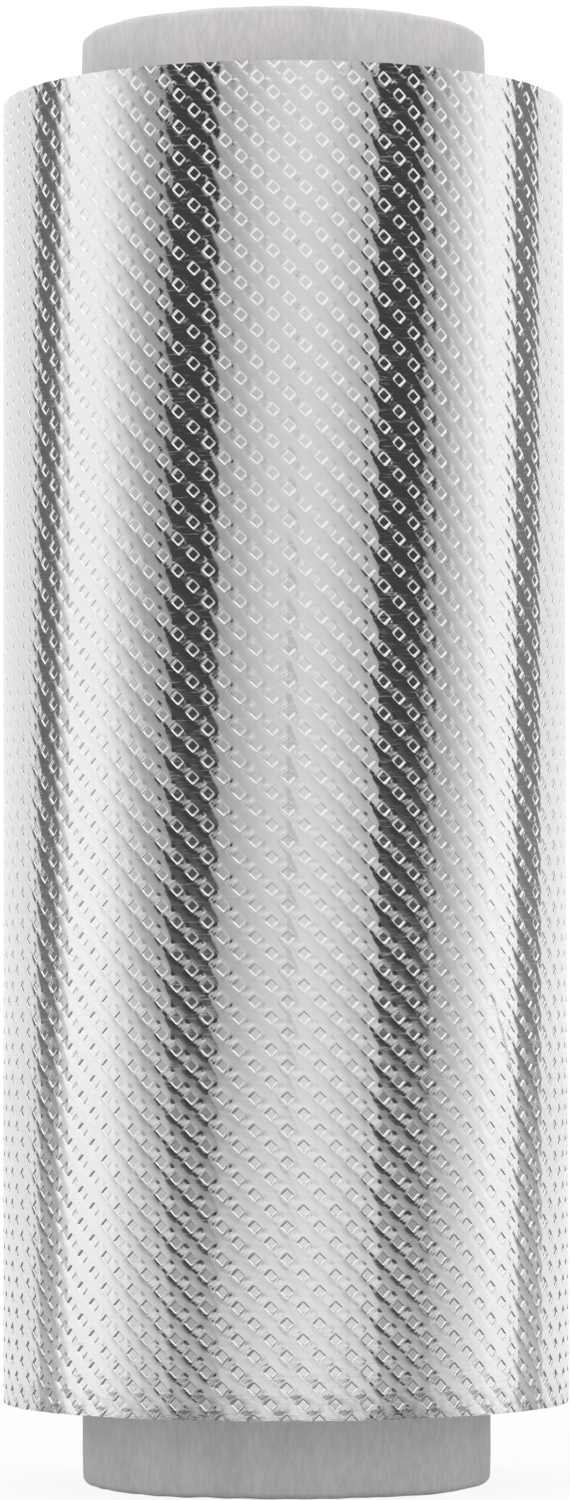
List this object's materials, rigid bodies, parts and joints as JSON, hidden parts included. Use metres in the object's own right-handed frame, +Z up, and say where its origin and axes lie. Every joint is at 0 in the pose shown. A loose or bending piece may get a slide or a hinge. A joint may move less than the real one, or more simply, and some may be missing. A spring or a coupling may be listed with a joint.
{
  "type": "roll of hair foil",
  "caption": "Strip of diamond-embossed aluminium foil wound on a paperboard tube that sticks out at both ends, standing upright.",
  "frame": {"origin": "centre of the tube's lower end, on the axis of the roll", "axes": "+Z up along the axis of the roll; the camera of the picture looks along +Y"},
  "size_m": [0.0521, 0.0521, 0.134],
  "materials": {
    "paperboard": "matt light grey paperboard, spirally wound",
    "foil": "bright rolled aluminium foil, embossed with small diamonds"
  },
  "bodies": {
    "root": {"core_tube": "paperboard", "foil_roll": "foil"}
  },
  "joints": []
}
